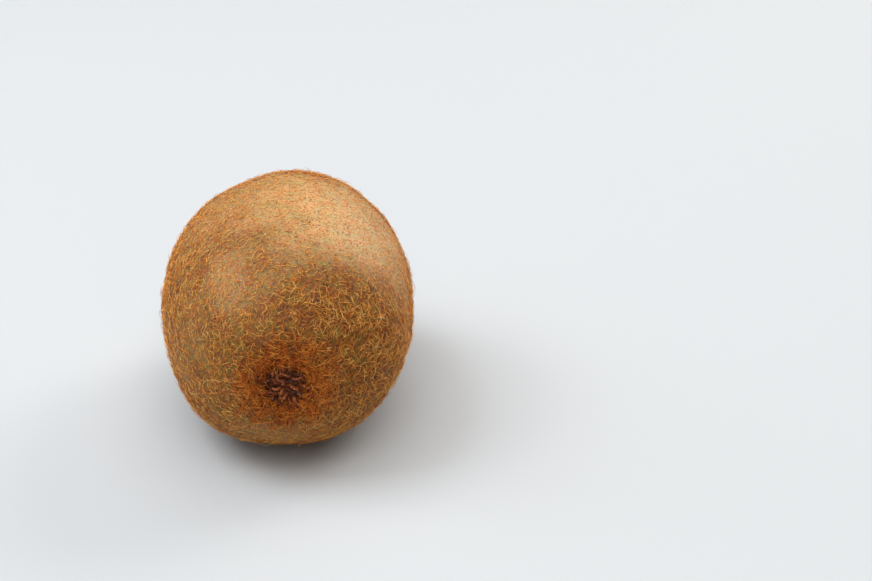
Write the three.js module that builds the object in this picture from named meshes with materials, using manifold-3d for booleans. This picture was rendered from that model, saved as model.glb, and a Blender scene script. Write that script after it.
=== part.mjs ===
// A kiwi fruit lying on its side, in millimetres, +Z up, with its long axis along Y.
// The blossom end, with the dried styles of the flower, points to -Y and the stem end to +Y.
// The origin is the middle of the underside of the whole object.
import * as THREE from "three";
import { mergeVertices } from "three/addons/utils/BufferGeometryUtils.js";
import Module from "manifold-3d";

const wasm = await Module();
wasm.setup();

// ---- Driving dimensions ----
const HALF_LENGTH = 34.1; // middle of the fruit to either end, before the ends are dimpled
const HALF_WIDTH = 25.3; // radius across the broad side
const HALF_HEIGHT = 23.8; // radius across the slim side
const ROLL = THREE.MathUtils.degToRad(9); // how far the broad side is turned up from the horizontal
const LENGTH_POWER = 2.4; // above 2, the flanks run straighter
const BLOSSOM_BLUNTNESS = 2.44; // above 2, the end is blunter than an ellipsoid's
const STEM_BLUNTNESS = 2.28;

// The flanks swell and sink a little: each wave goes `around` times round the axis and turns by
// `along` radians from the middle to the end, and moves the skin by `share` of the radius.
const WAVES = [
  { around: 3, along: 0.0, share: 0.0055, phase: 129 },
  { around: 4, along: 0.0, share: 0.0123, phase: -162 },
  { around: 5, along: 0.0, share: 0.0122, phase: -7 },
  { around: 2, along: 2.4, share: 0.003, phase: 40 },
  { around: 3, along: -3.3, share: 0.003, phase: 200 },
];

const FUNNEL = { depth: 1.9, reach: 6.0 }; // hollow round the blossom end
const PIT = { radius: 4.3, depth: 1.5, lip: 0.8 }; // level seat of the tuft, inside the funnel
const STEM_HOLLOW = { depth: 1.7, reach: 5.2 };
const SCAR = { radius: 2.7, height: 0.6, cup: 0.4, edge: 0.7 }; // where the stem broke off
const SEPAL_STUBS = { count: 5, ring: 4.1, width: 0.8, height: 0.4 }; // worn lobes round the scar

const REST_CUT = 0.3; // height of the cap that the small flat resting spot takes away
const SEGMENTS = 64; // facets round the axis
const BODY_RINGS = 46; // rings from shoulder to shoulder
const END_RINGS = 11; // extra rings over each end's relief
const END_RELIEF = 6.6; // radius that those rings cover

const TUFT_GAP = 0.3; // clear space between the tuft and the fruit
const TUFT_BASE = { radius: 3.8, rise: 0.45, thickness: 0.6, facets: 24 };
const STYLE_SIDES = 5;
const STYLE_STEPS = 5;
// Rings of dried styles. They root at `root` from the axis and stand up to `rise`, and lean over by
// `reach`, up to half of `wander` radians away from straight outwards.
const STYLE_RINGS = [
  { count: 17, root: 2.9, reach: 1.7, rise: 1.35, wander: 1.8, radius: 0.33 },
  { count: 14, root: 1.9, reach: 1.9, rise: 1.55, wander: 2.8, radius: 0.33 },
  { count: 8, root: 0.9, reach: 1.6, rise: 1.6, wander: 5.0, radius: 0.32 },
];
const STYLE_CURL = 1.7; // spread of the sideways bend of their tips
const STYLE_SEED = 7;

const skinMaterial = new THREE.MeshStandardMaterial({ color: 0x8a6236, roughness: 0.75, metalness: 0 });
const tuftMaterial = new THREE.MeshStandardMaterial({ color: 0x3b2518, roughness: 0.9, metalness: 0 });

// ---- Shape of the skin ----
/** Goes smoothly from 0 to 1 as x goes from low to high. */
const ramp = (x, low, high) => THREE.MathUtils.smoothstep(x, low, high);

/** Height taken off the blossom end at a distance from the axis: a wide funnel with a pit in it. */
function blossomRelief(distance) {
  const funnel = FUNNEL.depth * Math.exp(-((Math.max(distance, PIT.radius) / FUNNEL.reach) ** 2));
  const pit = PIT.depth * (1 - ramp(distance, PIT.radius, PIT.radius + PIT.lip));
  return funnel + pit;
}

/** Height taken off the stem end: a hollow that holds a cupped scar and five worn sepal stubs. */
function stemRelief(distance, angle) {
  const hollow = STEM_HOLLOW.depth * Math.exp(-((distance / STEM_HOLLOW.reach) ** 2));
  const pad = SCAR.height * (1 - ramp(distance, SCAR.radius, SCAR.radius + SCAR.edge));
  const cup = SCAR.cup * (1 - ramp(distance, 0, SCAR.radius * 0.7));
  const ring = Math.exp(-(((distance - SEPAL_STUBS.ring) / SEPAL_STUBS.width) ** 2));
  const stubs = SEPAL_STUBS.height * ring * (0.6 + 0.4 * Math.cos(SEPAL_STUBS.count * angle));
  return hollow - pad + cup - stubs;
}

/** Radius of the plain section at a share t of the half length, as a share of its widest. */
function profile(t) {
  const bluntness = t < 0 ? BLOSSOM_BLUNTNESS : STEM_BLUNTNESS;
  return (1 - Math.abs(t) ** LENGTH_POWER) ** (1 / bluntness);
}

/** How far the skin swells out at an angle round the axis, as a factor near 1. */
function swelling(angle, t) {
  const wave = ({ around, along, share, phase }) =>
    share * Math.cos(around * angle + along * t + THREE.MathUtils.degToRad(phase));
  return 1 + WAVES.reduce((sum, w) => sum + wave(w), 0);
}

/** A point of the skin: t from -1 to 1 along the axis, and an angle from +X towards +Z. */
function skinPoint(t, angle) {
  const turned = angle - ROLL;
  const across = profile(t) * swelling(turned, t);
  const broad = HALF_WIDTH * across * Math.cos(turned);
  const slim = HALF_HEIGHT * across * Math.sin(turned);
  const distance = Math.hypot(broad, slim);
  const relief = t < 0 ? blossomRelief(distance) : -stemRelief(distance, angle);
  return new THREE.Vector3(
    broad * Math.cos(ROLL) - slim * Math.sin(ROLL),
    HALF_LENGTH * t + relief,
    broad * Math.sin(ROLL) + slim * Math.cos(ROLL),
  );
}

/** Shares t of the rings from one end to the other: close together over the relief of the ends. */
function ringPlaces() {
  const meanRadius = (HALF_WIDTH + HALF_HEIGHT) / 2;
  const shareAt = (distance, bluntness) =>
    (1 - (distance / meanRadius) ** bluntness) ** (1 / LENGTH_POWER);
  const end = (bluntness) =>
    Array.from({ length: END_RINGS }, (_, i) => shareAt((END_RELIEF * i) / END_RINGS, bluntness));
  const first = Math.asin(shareAt(END_RELIEF, BLOSSOM_BLUNTNESS));
  const last = Math.asin(shareAt(END_RELIEF, STEM_BLUNTNESS));
  const body = Array.from({ length: BODY_RINGS }, (_, i) =>
    Math.sin(THREE.MathUtils.lerp(-first, last, i / (BODY_RINGS - 1))),
  );
  return [...end(BLOSSOM_BLUNTNESS).map((t) => -t), ...body, ...end(STEM_BLUNTNESS).reverse()];
}

// ---- Solids ----
/** A closed three.js geometry as a manifold-3d solid. */
function solidOf(geometry) {
  const bare = geometry.index ? geometry.toNonIndexed() : geometry.clone();
  bare.deleteAttribute("normal");
  bare.deleteAttribute("uv");
  const merged = mergeVertices(bare, 1e-4);
  return new wasm.Manifold(
    new wasm.Mesh({
      numProp: 3,
      vertProperties: new Float32Array(merged.attributes.position.array),
      triVerts: new Uint32Array(merged.index.array),
    }),
  );
}

/** A manifold-3d solid as a three.js geometry. */
function geometryOf(solid) {
  const { vertProperties, triVerts } = solid.getMesh();
  const geometry = new THREE.BufferGeometry();
  geometry.setAttribute("position", new THREE.BufferAttribute(vertProperties, 3));
  geometry.setIndex(new THREE.BufferAttribute(triVerts, 1));
  geometry.computeVertexNormals();
  return geometry;
}

/** The whole fruit: a lathe turned about Y, its rings moved onto the skin, with a flat spot below. */
function makeFruit() {
  const places = ringPlaces();
  const lathe = new THREE.LatheGeometry(
    places.map((t) => new THREE.Vector2(profile(t), t)),
    SEGMENTS,
  );
  const position = lathe.getAttribute("position");
  for (let i = 0; i < position.count; i++) {
    const angle = Math.atan2(position.getZ(i), position.getX(i));
    const t = position.getY(i);
    const p = Math.abs(t) === 1 ? skinPoint(t, 0) : skinPoint(t, angle);
    position.setXYZ(i, p.x, p.y, p.z);
  }
  lathe.computeBoundingBox();
  const below = new THREE.BoxGeometry(4 * HALF_WIDTH, 4 * HALF_LENGTH, 2 * HALF_HEIGHT);
  below.translate(0, 0, lathe.boundingBox.min.z + REST_CUT - HALF_HEIGHT);
  return solidOf(lathe).subtract(solidOf(below));
}

/** A thin closed rod along a curve, whose radius is given by a function of the share of its length. */
function taperedRod(curve, radiusAt, sides, steps) {
  const frames = curve.computeFrenetFrames(steps);
  const points = [];
  for (let i = 0; i <= steps; i++) {
    const centre = curve.getPointAt(i / steps);
    for (let j = 0; j < sides; j++) {
      const turn = (2 * Math.PI * j) / sides;
      const side = frames.normals[i].clone().multiplyScalar(Math.cos(turn));
      side.addScaledVector(frames.binormals[i], Math.sin(turn));
      points.push(centre.clone().addScaledVector(side, radiusAt(i / steps)));
    }
  }
  const faces = [];
  for (let i = 0; i < steps; i++) {
    for (let j = 0; j < sides; j++) {
      const next = (j + 1) % sides;
      const [a, b] = [i * sides + j, i * sides + next];
      faces.push(a, b, b + sides, a, b + sides, a + sides);
    }
  }
  for (let j = 1; j < sides - 1; j++) {
    faces.push(0, j + 1, j);
    const top = steps * sides;
    faces.push(top, top + j, top + j + 1);
  }
  const geometry = new THREE.BufferGeometry().setFromPoints(points);
  geometry.setIndex(faces);
  return geometry;
}

/** Numbers from 0 to 1 that are the same each time, from a small linear generator. */
function seededDraw(seed) {
  let state = seed;
  return () => {
    state = (state * 16807) % 2147483647;
    return state / 2147483647;
  };
}

/** One dried style: it stands up from the base, leans over, and its tip curls sideways and down. */
function makeStyle(ring, angle, draw, baseY) {
  const reach = ring.reach * (0.6 + 0.6 * draw());
  const rise = ring.rise * (0.75 + 0.5 * draw());
  const heading = angle + ring.wander * (draw() - 0.5);
  const curl = STYLE_CURL * (draw() - 0.5);
  const at = (along, height, aside) =>
    new THREE.Vector3(
      ring.root * Math.cos(angle) + along * Math.cos(heading) - aside * Math.sin(heading),
      baseY - height,
      ring.root * Math.sin(angle) + along * Math.sin(heading) + aside * Math.cos(heading),
    );
  const path = new THREE.CatmullRomCurve3([
    at(0, -0.2, 0),
    at(0.15 * reach, 0.65 * rise, -0.3 * curl),
    at(0.6 * reach, rise, 0.1 * curl),
    at(0.95 * reach, 0.8 * rise, curl),
  ]);
  const radiusAt = (share) => ring.radius * (1 - 0.35 * share);
  return taperedRod(path, radiusAt, STYLE_SIDES, STYLE_STEPS);
}

/** The withered styles of the flower on their woody base, joined in one solid. */
function makeTuft() {
  const draw = seededDraw(STYLE_SEED);
  const under = skinPoint(-1, 0).y - TUFT_GAP;
  const crown = under - TUFT_BASE.thickness;
  const outline = [
    new THREE.Vector2(0, crown - TUFT_BASE.rise),
    new THREE.Vector2(TUFT_BASE.radius * 0.55, crown - TUFT_BASE.rise * 0.7),
    new THREE.Vector2(TUFT_BASE.radius, crown),
    new THREE.Vector2(TUFT_BASE.radius, under),
    new THREE.Vector2(0, under),
  ];
  let tuft = solidOf(new THREE.LatheGeometry(outline, TUFT_BASE.facets));
  for (const ring of STYLE_RINGS) {
    for (let i = 0; i < ring.count; i++) {
      const angle = (2 * Math.PI * (i + 0.5 * draw())) / ring.count;
      tuft = tuft.add(solidOf(makeStyle(ring, angle, draw, crown)));
    }
  }
  return tuft;
}

/** A named mesh of a solid. */
function namedMesh(name, solid, material) {
  const mesh = new THREE.Mesh(geometryOf(solid), material);
  mesh.name = name;
  return mesh;
}

const kiwi = new THREE.Group();
kiwi.add(namedMesh("fruit", makeFruit(), skinMaterial));
kiwi.add(namedMesh("style_tuft", makeTuft(), tuftMaterial));

// The underside's middle becomes the origin.
const box = new THREE.Box3().setFromObject(kiwi);
const middle = box.getCenter(new THREE.Vector3());
kiwi.position.set(-middle.x, -middle.y, -box.min.z);

export default kiwi;
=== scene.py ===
"""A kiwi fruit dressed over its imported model: a fine skin, the dried styles in its pit, and its hairs.

The classes hold lengths in millimetres and angles in degrees, unless a field says otherwise. The fruit's
long axis is Y, with its blossom end towards -Y. Meshes are made in metres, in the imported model's frame.
"""
import logging
from collections.abc import Iterator, Sequence
from dataclasses import astuple, dataclass, replace
from enum import Enum

import bpy
import numpy as np
from mathutils import Matrix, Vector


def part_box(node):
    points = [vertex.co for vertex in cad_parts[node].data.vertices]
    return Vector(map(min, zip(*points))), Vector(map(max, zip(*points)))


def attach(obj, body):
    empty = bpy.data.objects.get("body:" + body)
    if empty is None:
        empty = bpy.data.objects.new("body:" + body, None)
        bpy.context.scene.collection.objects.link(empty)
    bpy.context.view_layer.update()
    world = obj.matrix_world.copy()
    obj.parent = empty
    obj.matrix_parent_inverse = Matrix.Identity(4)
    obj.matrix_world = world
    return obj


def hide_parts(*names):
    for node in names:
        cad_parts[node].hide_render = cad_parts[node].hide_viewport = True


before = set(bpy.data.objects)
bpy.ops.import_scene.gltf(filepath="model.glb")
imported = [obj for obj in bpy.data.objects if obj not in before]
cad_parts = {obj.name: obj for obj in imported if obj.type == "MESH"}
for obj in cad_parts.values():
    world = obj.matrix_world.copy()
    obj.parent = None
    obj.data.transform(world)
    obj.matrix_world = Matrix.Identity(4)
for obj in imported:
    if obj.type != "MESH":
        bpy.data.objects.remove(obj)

MM = 0.001
BODY = "root"
HAIR_MAP = "OFBake"  # UV map of the hairs and styles: their tone across, and root to tip upwards
WORN = "worn"  # attribute of the skin: how worn it is, from 0 to 1
PLASTIC = 1.324717957244746  # the plastic number p, for which p^3 = p + 1
log = logging.getLogger("kiwi")

Numbers = np.ndarray
Span = tuple[float, float]
Place = tuple[float, float, float]
Colour = tuple[float, float, float]


class Slot(Enum):
    """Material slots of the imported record."""

    SKIN = "skin"
    STYLES = "dried_styles"


def tint(red: int, green: int, blue: int) -> Colour:
    """A screen colour from 0 to 255 as linear light, by the curve that screens follow.

    Args:
        red: red of the screen colour.
        green: green of the screen colour.
        blue: blue of the screen colour.

    Returns:
        The three linear shares, from 0 to 1.
    """
    shares = np.array([red, green, blue]) / 255
    linear = np.where(shares <= 0.04045, shares / 12.92, ((shares + 0.055) / 1.055) ** 2.4)
    return tuple(float(x) for x in linear)


# ---- Numbers over surfaces ----
def ramp(x: Numbers, low: float, high: float) -> Numbers:
    """Goes smoothly from 0 to 1 as x goes from low to high: 3s^2 - 2s^3 of the share s between them.

    Args:
        x: the numbers to ramp.
        low: where the ramp starts.
        high: where it ends.

    Returns:
        The ramp at each number.
    """
    share = np.clip((x - low) / (high - low), 0, 1)
    return share * share * (3 - 2 * share)


def unit(vectors: Numbers) -> Numbers:
    """The vectors at length 1, along their last axis."""
    return vectors / np.linalg.norm(vectors, axis=-1, keepdims=True)


@dataclass(frozen=True)
class Ripple:
    """A smooth uneven field in space: a sum of plane waves in random directions.

    Attributes:
        length: rough length of the waves.
        seed: seed of the draws.
        waves: how many waves are summed.
        spread: lengths of the shortest and the longest wave, as shares of the rough one.
    """

    length: float
    seed: int
    waves: int = 14
    spread: Span = (0.7, 1.4)

    def _draws(self) -> tuple[Numbers, Numbers]:
        """Draws the waves.

        Returns:
            The wave vectors, one in a row, and the waves' phases.
        """
        draw = np.random.default_rng(self.seed)
        heading = unit(draw.normal(size=(self.waves, 3)))
        pace = 2 * np.pi / (self.length * draw.uniform(*self.spread, size=(self.waves, 1)))
        return heading * pace, draw.uniform(0, 2 * np.pi, self.waves)

    def at(self, points: Numbers) -> Numbers:
        """The field at each point: the sum of sin(k.p + phase), scaled to a spread of about 1."""
        vectors, phase = self._draws()
        return np.sin(points @ vectors.T + phase).sum(-1) * np.sqrt(2 / self.waves)

    def uphill(self, points: Numbers) -> Numbers:
        """The field's slope at each point, times the waves' length: the sum of k cos(k.p + phase).

        Args:
            points: places, with x, y, z along the last axis.

        Returns:
            One vector for each point, whose parts have a spread of about 1.
        """
        vectors, phase = self._draws()
        slope = np.cos(points @ vectors.T + phase) @ vectors
        return slope * np.sqrt(2 / self.waves) * self.length / (2 * np.pi) * np.sqrt(3)


# ---- Meshes ----
def make_object(
    name: str,
    points: Numbers,
    faces: Sequence[Numbers],
    uv: Numbers | None = None,
    worn: Numbers | None = None,
) -> bpy.types.Object:
    """Puts a surface into a smooth-shaded mesh object at the origin.

    Args:
        name: name of the object and its mesh.
        points: vertices in millimetres, one row each.
        faces: arrays of vertex indices, each with one row for a face and a column for a corner.
        uv: one place in the map HAIR_MAP for each vertex, or None for no map.
        worn: one number in the attribute WORN for each vertex, or None for no attribute.

    Returns:
        The object, linked to the scene.
    """
    mesh = bpy.data.meshes.new(name)
    corners = np.concatenate([f.ravel() for f in faces]).astype(np.int32)
    sizes = np.concatenate([np.full(len(f), f.shape[1]) for f in faces])
    starts = np.concatenate([[0], np.cumsum(sizes)[:-1]]).astype(np.int32)
    mesh.vertices.add(len(points))
    mesh.loops.add(len(corners))
    mesh.polygons.add(len(sizes))
    mesh.vertices.foreach_set("co", (points * MM).astype(np.float32).ravel())
    mesh.loops.foreach_set("vertex_index", corners)
    mesh.polygons.foreach_set("loop_start", starts)
    if uv is not None:
        layer = mesh.uv_layers.new(name=HAIR_MAP)
        layer.data.foreach_set("uv", uv[corners].astype(np.float32).ravel())
    if worn is not None:
        mesh.attributes.new(WORN, "FLOAT", "POINT").data.foreach_set("value", worn.astype(np.float32))
    mesh.update(calc_edges=True)
    mesh.shade_smooth()
    made = bpy.data.objects.new(name, mesh)
    bpy.context.scene.collection.objects.link(made)
    return made


def triangle_count(piece: bpy.types.Object) -> int:
    """How many triangles a piece's faces make."""
    return len(piece.data.loops) - 2 * len(piece.data.polygons)


def hand_over(piece: bpy.types.Object, slot: Slot, finish: bpy.types.Material, *nodes: str) -> None:
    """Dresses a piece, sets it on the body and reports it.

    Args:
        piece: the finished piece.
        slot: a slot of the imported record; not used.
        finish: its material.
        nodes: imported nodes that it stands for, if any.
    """
    piece.data.materials.append(finish)
    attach(piece, BODY)
    if nodes:
        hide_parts(*nodes)
    log.info("%s: %d triangles", piece.name, triangle_count(piece))


def grid_faces(rows: int, columns: int) -> Numbers:
    """Quads of a grid of vertices whose last column meets the first.

    Args:
        rows: rows of vertices.
        columns: vertices in a row.

    Returns:
        One row of four vertex indices for each quad.
    """
    row, column = np.meshgrid(np.arange(rows - 1), np.arange(columns), indexing="ij")
    here = row * columns + column
    beside = row * columns + (column + 1) % columns
    return np.stack([here, beside, beside + columns, here + columns], -1).reshape(-1, 4)


def fan_faces(ring: Numbers, tip: int) -> Numbers:
    """Triangles from each edge of a closed ring of vertices to one tip vertex."""
    return np.stack([ring, np.roll(ring, -1), np.full_like(ring, tip)], -1)


def capped_faces(rings: int, columns: int) -> list[Numbers]:
    """Faces of rings of vertices that close at both ends in a pole, whose two vertices follow the rings'.

    Args:
        rings: how many rings there are.
        columns: vertices in a ring.

    Returns:
        The quads between the rings, and the triangles round the first pole and round the last.
    """
    count, ring = rings * columns, np.arange(columns)
    first_cap = fan_faces(ring[::-1], count)
    last_cap = fan_faces(ring + count - columns, count + 1)
    return [grid_faces(rings, columns), first_cap, last_cap]


def repeated(faces: Sequence[Numbers], copies: int, stride: int) -> list[Numbers]:
    """Faces of many alike tubes, whose vertices follow each other.

    Args:
        faces: arrays of the first tube's faces.
        copies: how many tubes there are.
        stride: vertices in a tube.

    Returns:
        The same arrays with the faces of all the tubes.
    """
    first = stride * np.arange(copies)[:, None, None]
    return [(first + f).reshape(-1, f.shape[1]) for f in faces]


def rings_round(middle: Numbers, way: Numbers, spoke: Numbers, radius: Numbers, sides: int) -> Numbers:
    """Rings of vertices round tubes' middle lines, in the planes across them.

    A vertex lies at its radius times cos(a) across + sin(a) up from the line. Its angle a goes round in
    even steps, across is at right angles to the line and the spoke, and up is at right angles to both.

    Args:
        middle: points of the lines, of shape (tubes, rings, 3).
        way: unit vectors along the line at each.
        spoke: vectors at each that don't point along the line.
        radius: radius of each vertex, of shape (tubes, rings, sides), or 1 in place of the sides.
        sides: vertices in a ring.

    Returns:
        Points of shape (tubes, rings, sides, 3).
    """
    turn = 2 * np.pi * np.arange(sides) / sides
    across = unit(np.cross(way, spoke))
    up = np.cross(across, way)
    rim = np.cos(turn)[:, None] * across[:, :, None] + np.sin(turn)[:, None] * up[:, :, None]
    return middle[:, :, None] + radius[..., None] * rim


def map_places(tone: Numbers, height: Numbers) -> Numbers:
    """Places in the map for all the tubes' vertices, from tones for each vertex and heights in a tube."""
    return np.stack(np.broadcast_arrays(tone, height), -1).reshape(-1, 2)


# ---- Shape of the fruit ----
@dataclass(frozen=True)
class Wave:
    """One swell of the flanks.

    Attributes:
        around: how many times it goes round the axis.
        along: radians that it turns by from the middle to the end.
        share: how far it moves the skin, as a share of the radius.
        phase: where it starts.
    """

    around: int
    along: float
    share: float
    phase: float


@dataclass(frozen=True)
class FruitShape:
    """The fruit's skin as a formula of t, from -1 to 1 along the axis, and an angle from +X towards +Z.

    Attributes:
        half_length, half_width, half_height: half the body's sizes, before its ends sink in.
        roll: turn of its broad side, from +X towards +Z.
        length_power, blossom_bluntness, stem_bluntness: powers in the outline's formula.
        waves: swells of the flanks.
        funnel_depth, funnel_reach: the wide funnel at the blossom end.
        pit_radius, pit_depth, pit_lip: the pit in it, and how wide its lip is.
        stem_hollow_depth, stem_hollow_reach: the hollow at the stem end.
        scar_radius, scar_height, scar_edge: the scar in it, a raised pad, and how wide its edge is.
        scar_cup, cup_share: depth of the cup in the pad, and its radius as a share of the pad's.
        stub_count, stub_ring, stub_width, stub_height: the ring of worn sepal stubs round the scar.
        stub_evenness: height of the ring's mean, as a share of that of its stubs.
        step: share of the half length, and radians, over which slopes are measured.
    """

    half_length: float = 34.1
    half_width: float = 25.3
    half_height: float = 23.8
    roll: float = 9.0
    length_power: float = 2.4
    blossom_bluntness: float = 2.44
    stem_bluntness: float = 2.28
    waves: tuple[Wave, ...] = (
        Wave(3, 0.0, 0.0055, 129),
        Wave(4, 0.0, 0.0123, -162),
        Wave(5, 0.0, 0.0122, -7),
        Wave(2, 2.4, 0.003, 40),
        Wave(3, -3.3, 0.003, 200),
    )
    funnel_depth: float = 1.9
    funnel_reach: float = 6.0
    pit_radius: float = 4.3
    pit_depth: float = 1.5
    pit_lip: float = 0.8
    stem_hollow_depth: float = 1.7
    stem_hollow_reach: float = 5.2
    scar_radius: float = 2.7
    scar_height: float = 0.6
    scar_edge: float = 0.7
    scar_cup: float = 0.4
    cup_share: float = 0.7
    stub_count: int = 5
    stub_ring: float = 4.1
    stub_width: float = 0.8
    stub_height: float = 0.4
    stub_evenness: float = 0.6
    step: float = 1e-4

    def blossom_relief(self, distance: Numbers) -> Numbers:
        """Height off the blossom end: a bell-shaped funnel, plus a pit with a smooth lip.

        Args:
            distance: distances from the axis.

        Returns:
            The height taken off at each.
        """
        bell = np.exp(-((np.maximum(distance, self.pit_radius) / self.funnel_reach) ** 2))
        pit = 1 - ramp(distance, self.pit_radius, self.pit_radius + self.pit_lip)
        return self.funnel_depth * bell + self.pit_depth * pit

    def stem_relief(self, distance: Numbers, angle: Numbers) -> Numbers:
        """Height off the stem end: a bell-shaped hollow less a cupped pad and a ring of worn stubs.

        Args:
            distance: distances from the axis.
            angle: angles round the axis, in radians.

        Returns:
            The height taken off at each.
        """
        hollow = self.stem_hollow_depth * np.exp(-((distance / self.stem_hollow_reach) ** 2))
        pad = self.scar_height * (1 - ramp(distance, self.scar_radius, self.scar_radius + self.scar_edge))
        cup = self.scar_cup * (1 - ramp(distance, 0, self.scar_radius * self.cup_share))
        ring = np.exp(-(((distance - self.stub_ring) / self.stub_width) ** 2))
        bumps = self.stub_evenness + (1 - self.stub_evenness) * np.cos(self.stub_count * angle)
        return hollow - pad + cup - self.stub_height * ring * bumps

    def bare(self, t: Numbers, angle: Numbers) -> Numbers:
        """The skin about the middle of the axis.

        The section's radius is (1 - |t|^power)^(1/bluntness) of the widest one. Cosine waves round the
        axis swell it, its broad side is turned by the roll, and the ends' relief moves it along Y.

        Args:
            t: shares of the half length, from -1 at the blossom end to 1.
            angle: angles round the axis, in radians.

        Returns:
            Points, with x, y, z along the last axis.
        """
        roll = np.radians(self.roll)
        turned = angle - roll
        bluntness = np.where(t < 0, self.blossom_bluntness, self.stem_bluntness)
        across = np.maximum(1 - np.abs(t) ** self.length_power, 0) ** (1 / bluntness)
        swelling = 1 + sum(
            w.share * np.cos(w.around * turned + w.along * t + np.radians(w.phase)) for w in self.waves
        )
        broad = self.half_width * across * swelling * np.cos(turned)
        slim = self.half_height * across * swelling * np.sin(turned)
        distance = np.hypot(broad, slim)
        relief = np.where(t < 0, self.blossom_relief(distance), -self.stem_relief(distance, angle))
        x = broad * np.cos(roll) - slim * np.sin(roll)
        z = broad * np.sin(roll) + slim * np.cos(roll)
        return np.stack([x, self.half_length * t + relief, z], -1)


@dataclass(frozen=True)
class Skin:
    """The fruit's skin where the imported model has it, with the fine unevenness that a real one shows.

    Attributes:
        shape: formula of the skin.
        origin: where the middle of the fruit's axis is.
        dents: shallow unevenness of the flesh, and how deep it is.
        puckers: small unevenness of the skin, and how deep it is.
        slimness: length over width of the ellipsoid whose outward directions these move the skin in.
        flat_height: height of its flat spot.
    """

    shape: FruitShape
    origin: Place
    dents: tuple[Ripple, float] = (Ripple(9.0, 11), 0.07)
    puckers: tuple[Ripple, float] = (Ripple(2.6, 12), 0.035)
    slimness: float = 1.3
    flat_height: float = 0.0

    def points(self, t: Numbers, angle: Numbers) -> Numbers:
        """Points of the skin: the formula's, moved outwards by the unevenness, none below the flat spot.

        Args:
            t: shares of the half length.
            angle: angles round the axis, in radians.

        Returns:
            Points, with x, y, z along the last axis.
        """
        bare = self.shape.bare(t, angle)
        uneven = sum(depth * ripple.at(bare) for ripple, depth in (self.dents, self.puckers))
        outward = unit(bare / np.array([1.0, self.slimness, 1.0]) ** 2)
        placed = bare + outward * uneven[..., None] + np.array(self.origin)
        placed[..., 2] = np.maximum(placed[..., 2], self.flat_height)
        return placed

    def axes(self, t: Numbers, angle: Numbers) -> tuple[Numbers, Numbers, Numbers]:
        """Directions at places on the skin, from the slopes of the formula along t and round the axis.

        Args:
            t: shares of the half length.
            angle: angles round the axis, in radians.

        Returns:
            Unit vectors outwards, along the skin towards the blossom end, and sideways.
        """
        step = self.shape.step
        along = self.shape.bare(t + step, angle) - self.shape.bare(t - step, angle)
        around = self.shape.bare(t, angle + step) - self.shape.bare(t, angle - step)
        outward = unit(np.cross(around, along))
        outward *= np.sign((outward * self.shape.bare(t, angle)).sum(-1, keepdims=True))
        towards_blossom = -unit(along)
        return outward, towards_blossom, np.cross(outward, towards_blossom)

    def scatter(self, count: int, seed: int) -> tuple[Numbers, Numbers]:
        """Even places over the whole skin.

        Steps of 1/p and 1/p^2, where p is the plastic number, fill a unit square evenly. The first share
        is looked up in the running sum of the skin's area along t, so that each place stands for the
        same area, and the second is the share of a turn.

        Args:
            count: how many places.
            seed: seed of the small shifts that break the steps' rows.

        Returns:
            Their t and their angle in radians.
        """
        edges, spokes, shift = 801, 24, 0.3 / np.sqrt(count)
        draw = np.random.default_rng(seed)
        t_edges = np.sin(np.linspace(-np.pi / 2, np.pi / 2, edges))
        rings = self.shape.bare(t_edges[:, None], np.linspace(0, 2 * np.pi, spokes + 1)[None, :-1])
        radius = np.hypot(rings[..., 0], rings[..., 2])
        slant = np.linalg.norm(np.diff(np.stack([radius, rings[..., 1]], -1), axis=0), axis=-1)
        area = np.cumsum(((radius[1:] + radius[:-1]) * slant).mean(1))
        share = np.concatenate([[0], area / area[-1]])
        order = np.arange(1, count + 1)
        first = (order / PLASTIC + draw.normal(0, shift, count)) % 1
        second = (order / PLASTIC**2 + draw.normal(0, shift, count)) % 1
        return np.interp(first, share, t_edges), 2 * np.pi * second


def skin_in_frame(shape: FruitShape) -> Skin:
    """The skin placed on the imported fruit: their boxes share their middle in X and Y, and their top.

    Args:
        shape: formula of the skin.

    Returns:
        The skin in its place.
    """
    samples, quarter_turn = 161, 1.57
    low, high = (np.array(corner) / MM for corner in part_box("fruit"))
    t = np.sin(np.linspace(-quarter_turn, quarter_turn, samples))
    bare = shape.bare(*np.meshgrid(t, np.linspace(0, 2 * np.pi, samples))).reshape(-1, 3)
    middle = (low + high) / 2 - (bare.min(0) + bare.max(0)) / 2
    return Skin(shape, (float(middle[0]), float(middle[1]), float(high[2] - bare[:, 2].max())))


# ---- Wear ----
@dataclass(frozen=True)
class RubbedPatch:
    """A patch of the skin where handling has worn the hairs.

    Attributes:
        middle: its middle, about the middle of the fruit's axis.
        reach: distance at which the wear has faded to about a third.
        most: wear at the middle, from 0 to 1.
    """

    middle: Place
    reach: float
    most: float

    def wear(self, points: Numbers, uneven: Numbers) -> Numbers:
        """Wear from 0 to 1: the bell exp(-(d / reach)^3), where d is the distance plus its unevenness."""
        away = np.linalg.norm(points - np.array(self.middle), axis=-1) + uneven
        return self.most * np.exp(-((np.maximum(away, 0) / self.reach) ** 3))


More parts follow.
